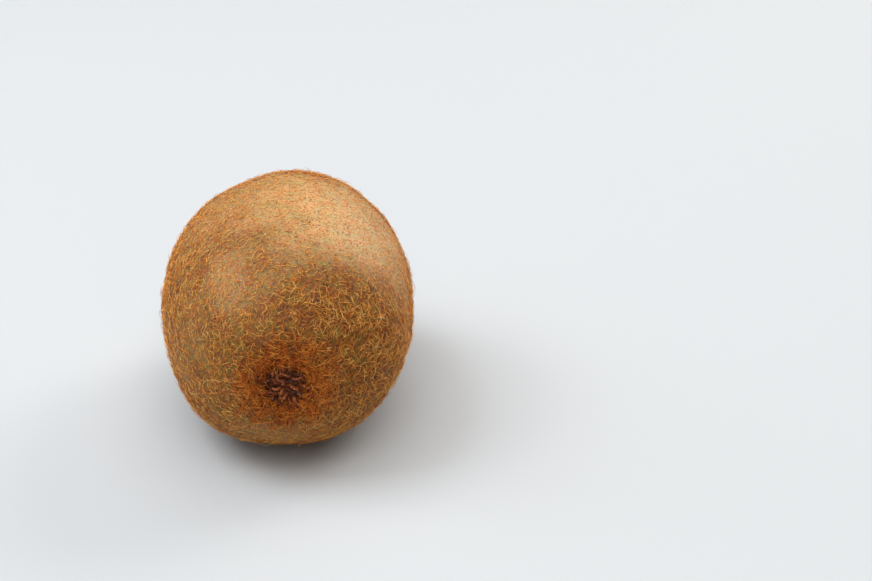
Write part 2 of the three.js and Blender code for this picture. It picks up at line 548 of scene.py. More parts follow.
@dataclass(frozen=True)
class Wear:
    """How worn the skin and its hairs are: a little all over but for one shaggy patch, and more in others.

    Attributes:
        general: wear outside the patches.
        shaggy: the patch that stayed unworn.
        wear_and_light: the patches that wore most; on the lit top, the paleness they give is partly
            painted light and sheen.
        bends: the unevenness that bends the patches' edges.
        bend: how far it bends them.
    """

    general: float = 0.3
    shaggy: RubbedPatch = RubbedPatch((11.0, -28.0, 6.0), 12.0, 1.0)
    wear_and_light: tuple[RubbedPatch, ...] = (
        RubbedPatch((13.0, -4.0, 18.0), 18.0, 0.85),
        RubbedPatch((-8.5, -22.0, 17.0), 7.0, 0.3),
        RubbedPatch((-8.0, 6.0, 21.0), 18.0, 0.42),
        RubbedPatch((-6.0, 27.0, 9.0), 10.0, 0.45),
        RubbedPatch((19.0, 14.0, -10.0), 9.0, 0.35),
        RubbedPatch((-20.0, 14.0, -8.0), 9.0, 0.35),
        RubbedPatch((-2.0, -26.0, -16.0), 11.0, 0.3),
        RubbedPatch((-18.0, -22.0, 0.0), 9.0, 0.22),
    )
    bends: Ripple = Ripple(9.0, 36)
    bend: float = 1.2

    def at(self, bare: Numbers) -> Numbers:
        """The wear at places about the axis's middle.

        Each source of wear w leaves the share 1 - w of what was there, and the shaggy patch was spared
        them all.

        Args:
            bare: the places, with x, y, z along the last axis.

        Returns:
            The wear at each, from 0 to 1.
        """
        uneven = self.bend * self.bends.at(bare)
        left = np.prod([1 - patch.wear(bare, uneven) for patch in self.wear_and_light], axis=0)
        return (1 - left * (1 - self.general)) * (1 - self.shaggy.wear(bare, uneven))


@dataclass
class FruitSkin:
    """The fine skin of the fruit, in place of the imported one.

    Attributes:
        skin: the surface that it follows.
        rings: rings of vertices from end to end.
        facets: vertices in a ring.
        packing: power that packs the rings towards the ends.
        wear: where it is worn.
    """

    skin: Skin
    rings: int = 180
    facets: int = 180
    packing: float = 1.35
    wear: Wear = Wear()

    def build(self) -> bpy.types.Object:
        """Makes the closed skin, from a vertex at one pole through the rings to one at the other.

        The rings stand at t = sin(a), which packs them towards the ends. The angle a is the share
        1 - (1 - |e|)^packing of a quarter turn, with the sign of e, where e goes from -1 to 1 in even
        steps, and that packs them closer there.

        Returns:
            The skin's object.
        """
        even = np.linspace(-1, 1, self.rings + 2)[1:-1]
        t = np.sin(np.pi / 2 * np.sign(even) * (1 - (1 - np.abs(even)) ** self.packing))
        angle = 2 * np.pi * np.arange(self.facets) / self.facets
        ring_t, ring_angle = np.meshgrid(t, angle, indexing="ij")
        all_t = np.append(ring_t, (-1.0, 1.0))
        all_angle = np.append(ring_angle, (0.0, 0.0))
        faces = [f[:, ::-1] for f in capped_faces(self.rings, self.facets)]
        worn = self.wear.at(self.skin.shape.bare(all_t, all_angle))
        return make_object("skin", self.skin.points(all_t, all_angle), faces, worn=worn)


# ---- Hairs ----
@dataclass(frozen=True)
class HairKind:
    """How one kind of hair grows.

    Attributes:
        length: mean length.
        length_spread: spread of the length, as a share of it.
        radius: radius at the root.
        joints: rings of vertices before the tip.
        lift: angle to the skin at the root.
        droop: angle to the skin at the tip, below 0 where it bends back down.
        wander: spread of the headings over the skin.
        curl: spread of the turn sideways from root to tip.
        sink: how deep the root is under the skin.
        tone: mean tone, from 0 dark to 1 pale.
        tone_spread: spread of the tones.
        lay: mean heading, as an angle from the direction of the blossom end.
        pull: how strongly the hairs lean together in locks.
        wearing: how much they wear off in rubbed patches, from 0 to 1.
    """

    length: float
    length_spread: float
    radius: float
    joints: int
    lift: float
    droop: float
    wander: float
    curl: float
    sink: float
    tone: float
    tone_spread: float
    lay: float = 100.0
    pull: float = 0.5
    wearing: float = 1.0


@dataclass
class HairCoat:
    """Hairs of one kind over a stretch of the skin, each a slim closed tube with three sides and a tip.

    Attributes:
        name: name of the piece.
        skin: the surface that they grow from.
        kind: how they grow.
        t, angle: each root's share of the half length, and its angle round the axis in radians.
        worn: how worn the skin is at each hair, from 0 to 1.
        seed: seed of the draws.
        sides: corners of a hair's ring.
        flow, flow_turn: slow drift of the headings, and the radians that it turns them by.
        locks: ripple whose slopes draw the hairs together in locks.
        patches, patch_share: unevenness of the tones over the skin, and its share in their spread.
        shortening, slimming: share of the length that full wear takes, and how much of it slims them.
        paling, evening: what full wear adds to the tone, partly painted light, and the share it takes of
            its spread.
        tone_limits: lowest and highest tone.
        lift_range: least and most lift, as shares of the kind's.
        bend_power: power of the way from root to tip by which the lift becomes the droop.
        taper: share of the radius that is lost on that way.
        lean: small slant of a ring's first spoke, so that no hair points along it.
        map_step: how far apart a ring's corners lie in the map, across and up.
        floor_gap: how far the hairs stay off the ground.
    """

    name: str
    skin: Skin
    kind: HairKind
    t: Numbers
    angle: Numbers
    worn: Numbers
    seed: int
    sides: int = 3
    flow: Ripple = Ripple(26.0, 31)
    flow_turn: float = 0.8
    locks: Ripple = Ripple(4.6, 32)
    patches: Ripple = Ripple(8.0, 33)
    patch_share: float = 0.15
    shortening: float = 0.6
    slimming: float = 0.6
    wear_and_light_paling: float = 0.1
    evening: float = 0.5
    tone_limits: Span = (0.03, 0.97)
    lift_range: Span = (0.6, 1.4)
    bend_power: float = 0.8
    taper: float = 0.66
    lean: float = 0.01
    map_step: Span = (0.004, 0.01)
    floor_gap: float = 0.03

    @property
    def scale(self) -> Numbers:
        """Share of the kind's length that each hair has left."""
        return 1 - self.shortening * self.kind.wearing * self.worn

    def headings(
        self, roots: Numbers, towards: Numbers, aside: Numbers, draw: np.random.Generator
    ) -> Numbers:
        """Heading of each hair over the skin, as an angle from the direction of the blossom end.

        A slow flow over the fruit sets a direction. The uphill direction of a ripple a few millimetres
        long bends it, which draws the hairs together in locks, and a draw for each hair is added.

        Args:
            roots: where the hairs grow.
            towards: directions along the skin towards the blossom end.
            aside: directions along the skin across those.
            draw: source of the draws.

        Returns:
            Angles in radians.
        """
        drift = np.radians(self.kind.lay) + self.flow_turn * self.flow.at(roots)
        pull = self.kind.pull * self.locks.uphill(roots)
        forwards = np.cos(drift) + (pull * towards).sum(-1)
        sideways = np.sin(drift) + (pull * aside).sum(-1)
        return np.arctan2(sideways, forwards) + np.radians(self.kind.wander) * draw.normal(size=len(roots))

    def centre_lines(self, draw: np.random.Generator) -> tuple[Numbers, Numbers]:
        """Points along each hair's middle, and the direction outwards from the skin at its root.

        Each hair is a chain of equal steps. From root to tip its heading turns by the curl, and its angle
        to the skin goes from the lift to the droop, so a point is the sum of the steps before it.

        Args:
            draw: source of the draws.

        Returns:
            Points of shape (hairs, joints + 1, 3), and unit vectors of shape (hairs, 3).
        """
        kind, count = self.kind, len(self.t)
        roots = self.skin.points(self.t, self.angle)
        outward, towards, aside = self.skin.axes(self.t, self.angle)
        share = (np.arange(kind.joints) + 0.5) / kind.joints
        curl = np.radians(kind.curl) * draw.normal(size=(count, 1))
        heading = self.headings(roots, towards, aside, draw)[:, None] + curl * share
        lift = kind.lift * draw.uniform(*self.lift_range, size=(count, 1))
        rise = np.radians(lift + (kind.droop - lift) * share**self.bend_power)
        chance = draw.normal(size=(count, 1))
        length = kind.length * self.scale[:, None] * np.exp(kind.length_spread * chance)
        flat = np.cos(rise) * length / kind.joints
        steps = (
            (flat * np.cos(heading))[..., None] * towards[:, None]
            + (flat * np.sin(heading))[..., None] * aside[:, None]
            + (np.sin(rise) * length / kind.joints)[..., None] * outward[:, None]
        )
        start = (roots - kind.sink * outward)[:, None]
        return np.concatenate([start, start + np.cumsum(steps, 1)], 1), outward

    def tones(self, roots: Numbers, draw: np.random.Generator) -> Numbers:
        """Tone of each hair: the kind's mean, uneven by patches and hair to hair, paler where worn, partly
        painted light.

        Args:
            roots: where the hairs grow.
            draw: source of the draws.

        Returns:
            The tones, from 0 dark to 1 pale.
        """
        # Wear pales the hairs and evens their tones; on the lit top this is partly painted light.
        spread = self.kind.tone_spread * (1 - self.evening * self.worn)
        uneven = self.patch_share * self.patches.at(roots) + draw.normal(size=len(roots))
        return np.clip(self.kind.tone + self.wear_and_light_paling * self.worn + spread * uneven, *self.tone_limits)

    def tubes(self, lines: Numbers, outward: Numbers, scale: Numbers) -> Numbers:
        """Vertices of each hair: a ring at each point of its middle line but the last, which is its tip.

        The radius falls evenly by the taper from root to tip.

        Args:
            lines: points along the middle of each hair.
            outward: direction outwards from the skin at its root.
            scale: share of the kind's length that it has left.

        Returns:
            Points of shape (hairs, joints * sides + 1, 3).
        """
        joints = self.kind.joints
        way = unit(np.gradient(lines, axis=1))[:, :joints]
        slim = 1 - self.slimming + self.slimming * scale[:, None]
        radius = self.kind.radius * slim * (1 - self.taper * (np.arange(joints) / joints))
        spoke = outward[:, None] + self.lean
        rings = rings_round(lines[:, :joints], way, spoke, radius[..., None], self.sides)
        return np.concatenate([rings.reshape(len(lines), -1, 3), lines[:, joints:]], 1)

    def on_map(self, tones: Numbers) -> Numbers:
        """Places in the map: each hair's tone across it, and its root at 0 to its tip at 1 up it.

        The corners of a ring lie a small step apart, so that no face is without area there.

        Args:
            tones: tone of each hair.

        Returns:
            One place for each vertex.
        """
        joints, corner, (across, up) = self.kind.joints, np.arange(self.sides), self.map_step
        tone = tones[:, None] + across * np.append(np.tile(corner - 1, joints), 0)
        share = np.repeat(np.arange(joints) / joints, self.sides)
        return map_places(tone, np.append(share + up * np.tile(corner % 2, joints), 1.0))

    def build(self) -> bpy.types.Object:
        """Makes the hairs as tubes round their middle lines, without those that would reach the ground.

        Returns:
            The object of all the hairs.
        """
        draw = np.random.default_rng(self.seed)
        lines, outward = self.centre_lines(draw)
        tones = self.tones(lines[:, 0], draw)
        clear = lines[..., 2].min(1) > self.floor_gap + self.kind.radius
        points = self.tubes(lines[clear], outward[clear], self.scale[clear])
        tip = self.kind.joints * self.sides
        ring = np.arange(self.sides)
        faces = [
            grid_faces(self.kind.joints, self.sides),
            fan_faces(ring + tip - self.sides, tip),
            ring[None, ::-1],
        ]
        faces = repeated(faces, len(points), tip + 1)
        return make_object(self.name, points.reshape(-1, 3), faces, self.on_map(tones[clear]))


BRISTLE = HairKind(
    length=2.15, length_spread=0.32, radius=0.058, joints=4, lift=38, droop=-14, wander=52,
    curl=85, sink=0.1, tone=0.66, tone_spread=0.42,
)
STUBBLE = replace(BRISTLE, joints=3)
DOWN = HairKind(
    length=0.95, length_spread=0.35, radius=0.042, joints=2, lift=30, droop=-6, wander=70,
    curl=70, sink=0.08, tone=0.46, tone_spread=0.3, wearing=0.6,
)
FRINGE = HairKind(
    length=2.3, length_spread=0.3, radius=0.06, joints=4, lift=62, droop=-10, wander=50,
    curl=80, sink=0.1, tone=0.57, tone_spread=0.28, lay=0.0,
)
SHREDS = HairKind(
    length=2.1, length_spread=0.18, radius=0.13, joints=5, lift=56, droop=-40, wander=95,
    curl=130, sink=0.15, tone=0.36, tone_spread=0.3, lay=180.0,
)


@dataclass(frozen=True)
class Growth:
    """Hairs all over the skin, in pieces by their order from the blossom end to the stem end.

    Attributes:
        label: how the pieces' names begin.
        count: how many places for hairs there are, of which some stay bare.
        seed: seed of the places and of the first piece's draws.
        stretches: how each piece's name ends, and how its hairs grow.
    """

    label: str
    count: int
    seed: int
    stretches: tuple[tuple[str, HairKind], ...]


@dataclass(frozen=True)
class PitBand:
    """Hairs or shreds in a band round the pit of the tuft.

    Attributes:
        name: name of the piece.
        kind: how they grow.
        count: how many there are.
        edges: where the band begins and ends, from the edge of the pit.
        seed: seed of their places, one below that of their other draws.
    """

    name: str
    kind: HairKind
    count: int
    edges: Span
    seed: int


@dataclass
class Fur:
    """All the hairs of the fruit.

    Attributes:
        skin: the surface that they grow from.
        growths: the long curly hairs and the short down all over it.
        fringe: the rusty hairs round the tuft.
        shreds: the frayed shreds of the dead flower, which lie over the edge of its pit.
        bald_ends: radii round the axis that the growths keep clear of, at the blossom and the stem end.
        thinning: share of the growths' hairs that full wear takes.
        crowding: power by which a band's hairs crowd at its inner edge.
        seed_step: from the seed of one piece of a growth to the next one's.
        wear: where the hairs are worn.
    """

    skin: Skin
    growths: tuple[Growth, ...] = (
        Growth("bristles", 34000, 41, (
            ("blossom_end", BRISTLE), ("blossom_half", BRISTLE),
            ("stem_half", STUBBLE), ("stem_end", STUBBLE),
        )),
        Growth("down", 32000, 42, (("blossom_half", DOWN), ("stem_half", DOWN))),
    )
    fringe: PitBand = PitBand("fringe_of_pit", FRINGE, 2300, (-0.1, 5.6), 51)
    shreds: PitBand = PitBand("shreds_of_flower", SHREDS, 300, (-0.5, 0.7), 53)
    bald_ends: Span = (4.6, 3.3)
    thinning: float = 0.35
    crowding: float = 1.5
    seed_step: int = 100
    wear: Wear = Wear()

    def coats(self) -> Iterator[HairCoat]:
        """Each piece of each growth.

        Yields:
            The coats, ready to build.
        """
        for growth in self.growths:
            t, angle = self.skin.scatter(growth.count, growth.seed)
            bare = self.skin.shape.bare(t, angle)
            worn = self.wear.at(bare)
            lost = self.thinning * worn * growth.stretches[0][1].wearing
            haired = np.hypot(bare[:, 0], bare[:, 2]) > np.where(t < 0, *self.bald_ends)
            haired &= np.random.default_rng(growth.seed).uniform(size=growth.count) > lost
            t, angle, worn = t[haired], angle[haired], worn[haired]
            parts = np.array_split(np.argsort(t), len(growth.stretches))
            for i, (part, (stretch, kind)) in enumerate(zip(parts, growth.stretches)):
                name, seed = f"{growth.label}_{stretch}", growth.seed + self.seed_step * i
                yield HairCoat(name, self.skin, kind, t[part], angle[part], worn[part], seed)

    def pit_coat(self, band: PitBand) -> HairCoat:
        """The hairs or shreds of a band round the pit, densest at its inner edge.

        A root's t is the one at which the body's outline, before its ends sink in, is as far from the
        axis as the root.

        Args:
            band: what grows, and where.

        Returns:
            The coat, ready to build.
        """
        shape = self.skin.shape
        draw = np.random.default_rng(band.seed)
        inner, outer = (shape.pit_radius + edge for edge in band.edges)
        distance = inner + (outer - inner) * draw.uniform(size=band.count) ** self.crowding
        across = 2 * distance / (shape.half_width + shape.half_height)
        t = -((1 - across**shape.blossom_bluntness) ** (1 / shape.length_power))
        angle = draw.uniform(0, 2 * np.pi, band.count)
        return HairCoat(band.name, self.skin, band.kind, t, angle, np.zeros(band.count), band.seed + 1)


# ---- The dried styles ----
@dataclass(frozen=True)
class StyleRing:
    """One ring of dried styles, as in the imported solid.

    Attributes:
        count: how many styles.
        root: distance of their roots from the axis.
        reach: how far they reach outwards.
        rise: how far they stand up.
        wander: how many radians in all their headings spread over, about straight outwards.
        radius: radius of a style at its root.
    """

    count: int
    root: float
    reach: float
    rise: float
    wander: float
    radius: float


@dataclass(frozen=True)
class Wrinkles:
    """How a dried style differs from a plain round tube.

    Attributes:
        broad_folds, small_folds: depths of two broad and three small folds, as shares of the radius.
        knobs: depth of the knobs along it, as such a share.
        start, twist: most radians that the folds are turned by at the root, and turn by to the tip.
        knob_run, knob_turn: radians of the knobs' wave from root to tip, and how much it turns with them.
        taper: share of the radius that is lost by the tip.
        blunt, past: at the share s of the length, it stays under blunt * sqrt(1 + past - s) besides.
        point: how far the end point stands off the last ring.
        seed: seed of the draws.
    """

    broad_folds: float = 0.28
    small_folds: float = 0.16
    knobs: float = 0.2
    start: float = 6.0
    twist: float = 4.0
    knob_run: float = 14.0
    knob_turn: float = 5.0
    taper: float = 0.45
    blunt: float = 2.4
    past: float = 0.02
    point: float = 0.1
    seed: int = 61


@dataclass
class StyleTuft:
    """The withered styles of the flower on their woody base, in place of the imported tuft.

    Attributes:
        skin: the surface that it sits on.
        gap: from the skin to the base.
        base_radius, base_rise, base_thickness: sizes of the base, and how far its dome rises.
        base_facets, base_rings: facets round the base, and rings of its dome.
        hub, foot: radius of the dome's first ring and of the underside's, as shares of the base's.
        ridges, ridge_depth: how many ridges run out over the dome, and how deep they are.
        rings: the rings of styles.
        reach_share, rise_share: least share of a ring's reach or rise, and what chance adds to it.
        curl: how far apart two styles' tips may bend sideways.
        root_sink: how far the roots reach down into the base.
        seed: seed of the draws of the styles' lines.
        sides, steps: corners round a style, and steps along it.
        wrinkles: how its section wrinkles.
        tone_range: darkest and palest tone of a style.
        map_step, base_map: reach in the map of a style's ring and of the base, from their middles.
    """

    skin: Skin
    gap: float = 0.3
    base_radius: float = 3.8
    base_rise: float = 0.45
    base_thickness: float = 0.6
    base_facets: int = 72
    base_rings: int = 12
    hub: float = 0.05
    foot: float = 0.6
    ridges: int = 16
    ridge_depth: float = 0.1
    rings: tuple[StyleRing, ...] = (
        StyleRing(17, 2.9, 1.7, 1.35, 1.8, 0.33),
        StyleRing(14, 1.9, 1.9, 1.55, 2.8, 0.33),
        StyleRing(8, 0.9, 1.6, 1.6, 5.0, 0.32),
    )
    reach_share: Span = (0.6, 0.6)
    rise_share: Span = (0.75, 0.5)
    curl: float = 1.7
    root_sink: float = 0.2
    seed: int = 7
    sides: int = 10
    steps: int = 16
    wrinkles: Wrinkles = Wrinkles()
    tone_range: Span = (0.1, 0.9)
    map_step: float = 0.004
    base_map: float = 0.08

    def draws(self) -> Iterator[float]:
        """Numbers from 0 to 1: each state is 16807 times the last, less whole 2147483647s.

        Yields:
            The next number.
        """
        factor, whole = 16807, 2147483647
        state = self.seed
        while True:
            state = state * factor % whole
            yield state / whole

    def knots(self, crown: float) -> tuple[Numbers, Numbers]:
        """Four points on the middle line of each style: its root, its bend, its top and its tip.

        Args:
            crown: Y of the top of the base's side, about the middle of the fruit.

        Returns:
            Points of shape (styles, 4, 3), and the radius at each style's root.
        """
        draw = self.draws()
        styles = [(r, i, [next(draw) for _ in range(5)]) for r in self.rings for i in range(r.count)]
        count, root, reach, rise, wander, radius = np.array([astuple(r) for r, _, _ in styles]).T
        number = np.array([i for _, i, _ in styles])
        shift, longer, taller, turn, bend = np.array([chances for _, _, chances in styles]).T
        angle = 2 * np.pi * (number + 0.5 * shift) / count
        reach = reach * (self.reach_share[0] + self.reach_share[1] * longer)
        rise = rise * (self.rise_share[0] + self.rise_share[1] * taller)
        heading = (angle + wander * (turn - 0.5))[:, None]
        curl = self.curl * (bend - 0.5)
        along = reach[:, None] * np.array([0, 0.15, 0.6, 0.95])
        height = rise[:, None] * np.array([0, 0.65, 1, 0.8]) - np.array([self.root_sink, 0, 0, 0])
        aside = curl[:, None] * np.array([0, -0.3, 0.1, 1])
        x = (root * np.cos(angle))[:, None] + along * np.cos(heading) - aside * np.sin(heading)
        z = (root * np.sin(angle))[:, None] + along * np.sin(heading) + aside * np.cos(heading)
        return np.stack([x, crown - height, z], -1), radius

    def middle_lines(self, knots: Numbers) -> Numbers:
        """The Catmull-Rom spline through each style's knots, with an end point mirrored past each end.

        Args:
            knots: points of shape (styles, 4, 3).

        Returns:
            Points of shape (styles, steps + 1, 3).
        """
        before, after = 2 * knots[:, :1] - knots[:, 1:2], 2 * knots[:, -1:] - knots[:, -2:-1]
        knots = np.concatenate([before, knots, after], 1)
        place = np.linspace(0, 3, self.steps + 1)
        span = np.minimum(place.astype(int), 2)
        s = (place - span)[None, :, None]
        a, b, c, d = (knots[:, span + i] for i in range(4))
        square, cube = 2 * a - 5 * b + 4 * c - d, 3 * (b - c) + d - a
        return 0.5 * (2 * b + (c - a) * s + square * s**2 + cube * s**3)

    def style_mesh(self, crown: float) -> tuple[Numbers, list[Numbers], Numbers]:
        """All the styles as wrinkled tubes.

        Round each middle line, a ring's radius is the root's, less the taper. Two broad folds and three
        small ones, which twist along the style, and knobs move it in and out, and the tip closes in a
        point.

        Args:
            crown: Y of the top of the base's side.

        Returns:
            Vertices, faces and their places in the map.
        """
        knots, radius = self.knots(crown)
        line = self.middle_lines(knots)
        count, rings, fold = len(line), self.steps + 1, self.wrinkles
        share = np.linspace(0, 1, rings)
        turn = 2 * np.pi * np.arange(self.sides) / self.sides
        draw = np.random.default_rng(fold.seed)
        twist = draw.uniform(-fold.twist, fold.twist, (count, 1, 1)) * share[:, None]
        twist = twist + draw.uniform(0, fold.start, (count, 1, 1))
        broad = fold.broad_folds * np.cos(2 * turn + 2 * twist)
        small = fold.small_folds * np.cos(3 * turn - 2 * twist)
        knobs = fold.knobs * np.sin(fold.knob_run * share[:, None] + fold.knob_turn * twist)
        tip = np.minimum(1, np.sqrt(1 + fold.past - share) * fold.blunt)
        taper = (1 - fold.taper * share) * tip
        size = radius[:, None, None] * taper[:, None] * (1 + broad + small) * (1 + knobs)
        way = unit(np.gradient(line, axis=1))
        tube = rings_round(line, way, unit(line * np.array([1.0, 0.0, 1.0])), size, self.sides)
        ends = np.stack([line[:, 0], line[:, -1] + fold.point * way[:, -1]], 1)
        points = np.concatenate([tube.reshape(count, -1, 3), ends], 1)
        faces = repeated(capped_faces(rings, self.sides), count, rings * self.sides + 2)
        tone = draw.uniform(*self.tone_range, (count, 1))
        tone = tone + self.map_step * np.append(np.tile(np.cos(turn), rings), [0, 0])
        height = np.append(np.repeat(share, self.sides), [0, 1])
        return points.reshape(-1, 3), faces, map_places(tone, height)

    def base_mesh(self, crown: float, under: float) -> tuple[Numbers, list[Numbers], Numbers]:
        """The woody base: a low dome over a short side and a flat underside.

        At the share s of its radius, the dome's top is base_rise (1 - s^2) over the side's, and ridges
        that run out from its middle raise and sink it by ridge_depth s (1 - s^4).

        Args:
            crown: Y of the top of its side.
            under: Y of its underside.

        Returns:
            Vertices, faces and their places in the map.
        """
        angle = 2 * np.pi * np.arange(self.base_facets) / self.base_facets
        share = np.linspace(self.hub, 1, self.base_rings)[:, None]
        ridges = self.ridge_depth * np.cos(self.ridges * angle) * share * (1 - share**4)
        dome = crown - self.base_rise * (1 - share**2) - ridges
        radius = self.base_radius * np.append(share, [[1.0], [self.foot]], 0)
        height = np.append(dome, np.full((2, self.base_facets), under), 0)
        points = np.stack([radius * np.cos(angle), height, radius * np.sin(angle)], -1).reshape(-1, 3)
        points = np.append(points, [[0, crown - self.base_rise, 0], [0, under, 0]], 0)
        faces = [f[:, ::-1] for f in capped_faces(len(radius), self.base_facets)]
        return points, faces, 0.5 + self.base_map * points[:, [0, 2]] / self.base_radius

    def build(self) -> bpy.types.Object:
        """Makes the tuft: the styles and their base in one mesh, in the pit of the blossom end.

        Returns:
            The tuft's object.
        """
        pit_floor = self.skin.shape.bare(np.array(-1.0), np.array(0.0))[1]
        under = float(pit_floor) - self.gap
        crown = under - self.base_thickness
        styles, style_faces, style_uv = self.style_mesh(crown)
        base, base_faces, base_uv = self.base_mesh(crown, under)
        faces = style_faces + [f + len(styles) for f in base_faces]
        points = np.concatenate([styles, base]) + np.array(self.skin.origin)
        return make_object("styles", points, faces, np.concatenate([style_uv, base_uv]))


# ---- Finishes ----
@dataclass(frozen=True)
class Value:
    """A number or colour in a finish's node tree, which Python's operators add Math nodes to."""

    tree: "FinishTree"
    socket: bpy.types.NodeSocket

    def _maths(self, operation: str, first: "Value | float", second: "Value | float") -> "Value":
        """The result of one Math node with this operation on two numbers."""
        return self.tree.node("ShaderNodeMath", {"operation": operation}, {0: first, 1: second})

    def __add__(self, other: "Value | float") -> "Value":
        """This plus other."""
        return self._maths("ADD", self, other)

    __radd__ = __add__

    def __mul__(self, other: "Value | float") -> "Value":
        """This times other."""
        return self._maths("MULTIPLY", self, other)

    __rmul__ = __mul__

    def __sub__(self, other: "Value | float") -> "Value":
        """This less other."""
        return self._maths("SUBTRACT", self, other)

    def __rsub__(self, other: float) -> "Value":
        """Other less this."""
        return self._maths("SUBTRACT", other, self)

    def most(self, other: "Value | float") -> "Value":
        """The larger of this and other."""
        return self._maths("MAXIMUM", self, other)

    def span(self, low: float, high: float) -> "Value":
        """Goes smoothly from 0 to 1 as this goes from low to high, which may be the smaller one.

        Args:
            low: where the result is 0.
            high: where it is 1.

        Returns:
            The result.
        """
        if low > high:
            return 1 - self.span(high, low)
        settings = {"interpolation_type": "SMOOTHSTEP"}
        return self.tree.node("ShaderNodeMapRange", settings, {0: self, 1: low, 2: high})


class FinishTree:
    """The node tree of one material, with its Principled shader."""

    def __init__(self, name: str, **constants: float | Colour) -> None:
        """Makes the material.

        Args:
            name: its name.
            constants: values of the shader's own sockets, with spaces in their names as underscores.
        """
        self.material = bpy.data.materials.new(name)
        self.material.use_nodes = True
        self.tree = self.material.node_tree
        self.shader = next(n for n in self.tree.nodes if n.type == "BSDF_PRINCIPLED")
        for socket, constant in constants.items():
            self.feed(socket.replace("_", " "), constant)

    def node(self, kind: str, settings: dict, inputs: dict, output: int | str = 0) -> Value:
        """Adds a node.

        Args:
            kind: its type.
            settings: its properties, and "stops" for the stops of a colour ramp.
            inputs: numbers, colours or values for its sockets, by name or number.
            output: the output that is wanted.

        Returns:
            That output.
        """
        made = self.tree.nodes.new(kind)
        for setting, choice in settings.items():
            if setting == "stops":
                self._set_stops(made.color_ramp, choice)
            else:
                setattr(made, setting, choice)
        for socket, given in inputs.items():
            self._connect(made.inputs[socket], given)
        return Value(self, made.outputs[output])

    def _set_stops(self, band: bpy.types.ColorRamp, stops: Sequence[tuple[float, Colour]]) -> None:
        """Gives a colour ramp its stops.

        Args:
            band: the ramp, which has two stops when it is new.
            stops: places from 0 to 1 with their colours.
        """
        while len(band.elements) < len(stops):
            band.elements.new(1.0)
        for element, (place, colour) in zip(band.elements, stops):
            element.position = place
            element.color = (*colour, 1.0)

    def _connect(self, socket: bpy.types.NodeSocket, given: Value | float | Colour) -> None:
        """Links a value to a socket, or sets the socket.

        Args:
            socket: the socket.
            given: the value, or else a number or a colour.
        """
        if isinstance(given, Value):
            self.tree.links.new(given.socket, socket)
        elif isinstance(given, tuple) and socket.type == "RGBA":
            socket.default_value = (*given, 1.0)
        else:
            socket.default_value = given

    def feed(self, socket: str, given: Value | float | Colour) -> None:
        """Links or sets one of the shader's own sockets."""
        self._connect(self.shader.inputs[socket], given)

    def place(self) -> Value:
        """Object coordinates, in metres."""
        return self.node("ShaderNodeTexCoord", {}, {}, "Object")

    def map_place(self) -> Value:
        """Places in the map of the hairs and styles."""
        return self.node("ShaderNodeUVMap", {"uv_map": HAIR_MAP}, {})

    def part(self, place: Value, axis: str) -> Value:
        """One coordinate of a place."""
        return self.node("ShaderNodeSeparateXYZ", {}, {0: place}, axis)

    def noise(self, place: Value, feature: float, detail: float = 3.0, roughness: float = 0.55) -> Value:
        """Smooth noise from 0 to 1.

        Args:
            place: where it is looked up.
            feature: size of its features in millimetres.
            detail: how many finer layers it has.
            roughness: how strong the finer layers are.

        Returns:
            The noise.
        """
        inputs = {"Vector": place, "Scale": 1 / (feature * MM), "Detail": detail, "Roughness": roughness}
        return self.node("ShaderNodeTexNoise", {}, inputs, "Fac")

    def dots(self, place: Value, spacing: float, reach: float, edge: float = 0.3) -> Value:
        """Round dots at random places: 1 in them and 0 between.

        Args:
            place: where they are looked up.
            spacing: mean distance between them in millimetres.
            reach: radius of a dot, as a share of the spacing.
            edge: how far its soft edge reaches to either side of that, as a share of it.

        Returns:
            The dots.
        """
        inputs = {"Vector": place, "Scale": 1 / (spacing * MM)}
        away = self.node("ShaderNodeTexVoronoi", {}, inputs, "Distance")
        return away.span((1 + edge) * reach, (1 - edge) * reach)

    def mix(
        self, share: Value | float, first: Value | Colour, second: Value | Colour, blend: str = "MIX"
    ) -> Value:
        """A colour between two.

        Args:
            share: 0 for the first colour, to 1 for the second or what it makes of the first.
            first: the first colour.
            second: the second colour.
            blend: the way in which the second works on the first.

        Returns:
            The colour.
        """
        factor, a, b, result = 0, 6, 7, 2  # a Mix node's sockets for colours
        settings = {"data_type": "RGBA", "blend_type": blend}
        return self.node("ShaderNodeMix", settings, {factor: share, a: first, b: second}, result)

    def layered(self, colour: Value, *layers: tuple[Value, Value | Colour]) -> Value:
        """A colour under others that are laid over it in turn.

        Args:
            colour: the colour.
            layers: share of each layer, from 0 to 1, and its colour.

        Returns:
            The colour on top.
        """
        for share, over in layers:
            colour = self.mix(share, colour, over)
        return colour

    def bands(self, place: Value, colours: Sequence[Colour]) -> Value:
        """The colour at a place from 0 to 1 on a ramp that has these colours at even steps."""
        stops = list(zip(np.linspace(0, 1, len(colours)).tolist(), colours))
        return self.node("ShaderNodeValToRGB", {"stops": stops}, {0: place}, "Color")

    def bump(self, height: Value, rise: float, strength: float = 1.0) -> Value:
        """The normal, bent by a height from 0 to 1 that rises this many millimetres."""
        inputs = {"Height": height, "Distance": rise * MM, "Strength": strength}
        return self.node("ShaderNodeBump", {}, inputs, "Normal")


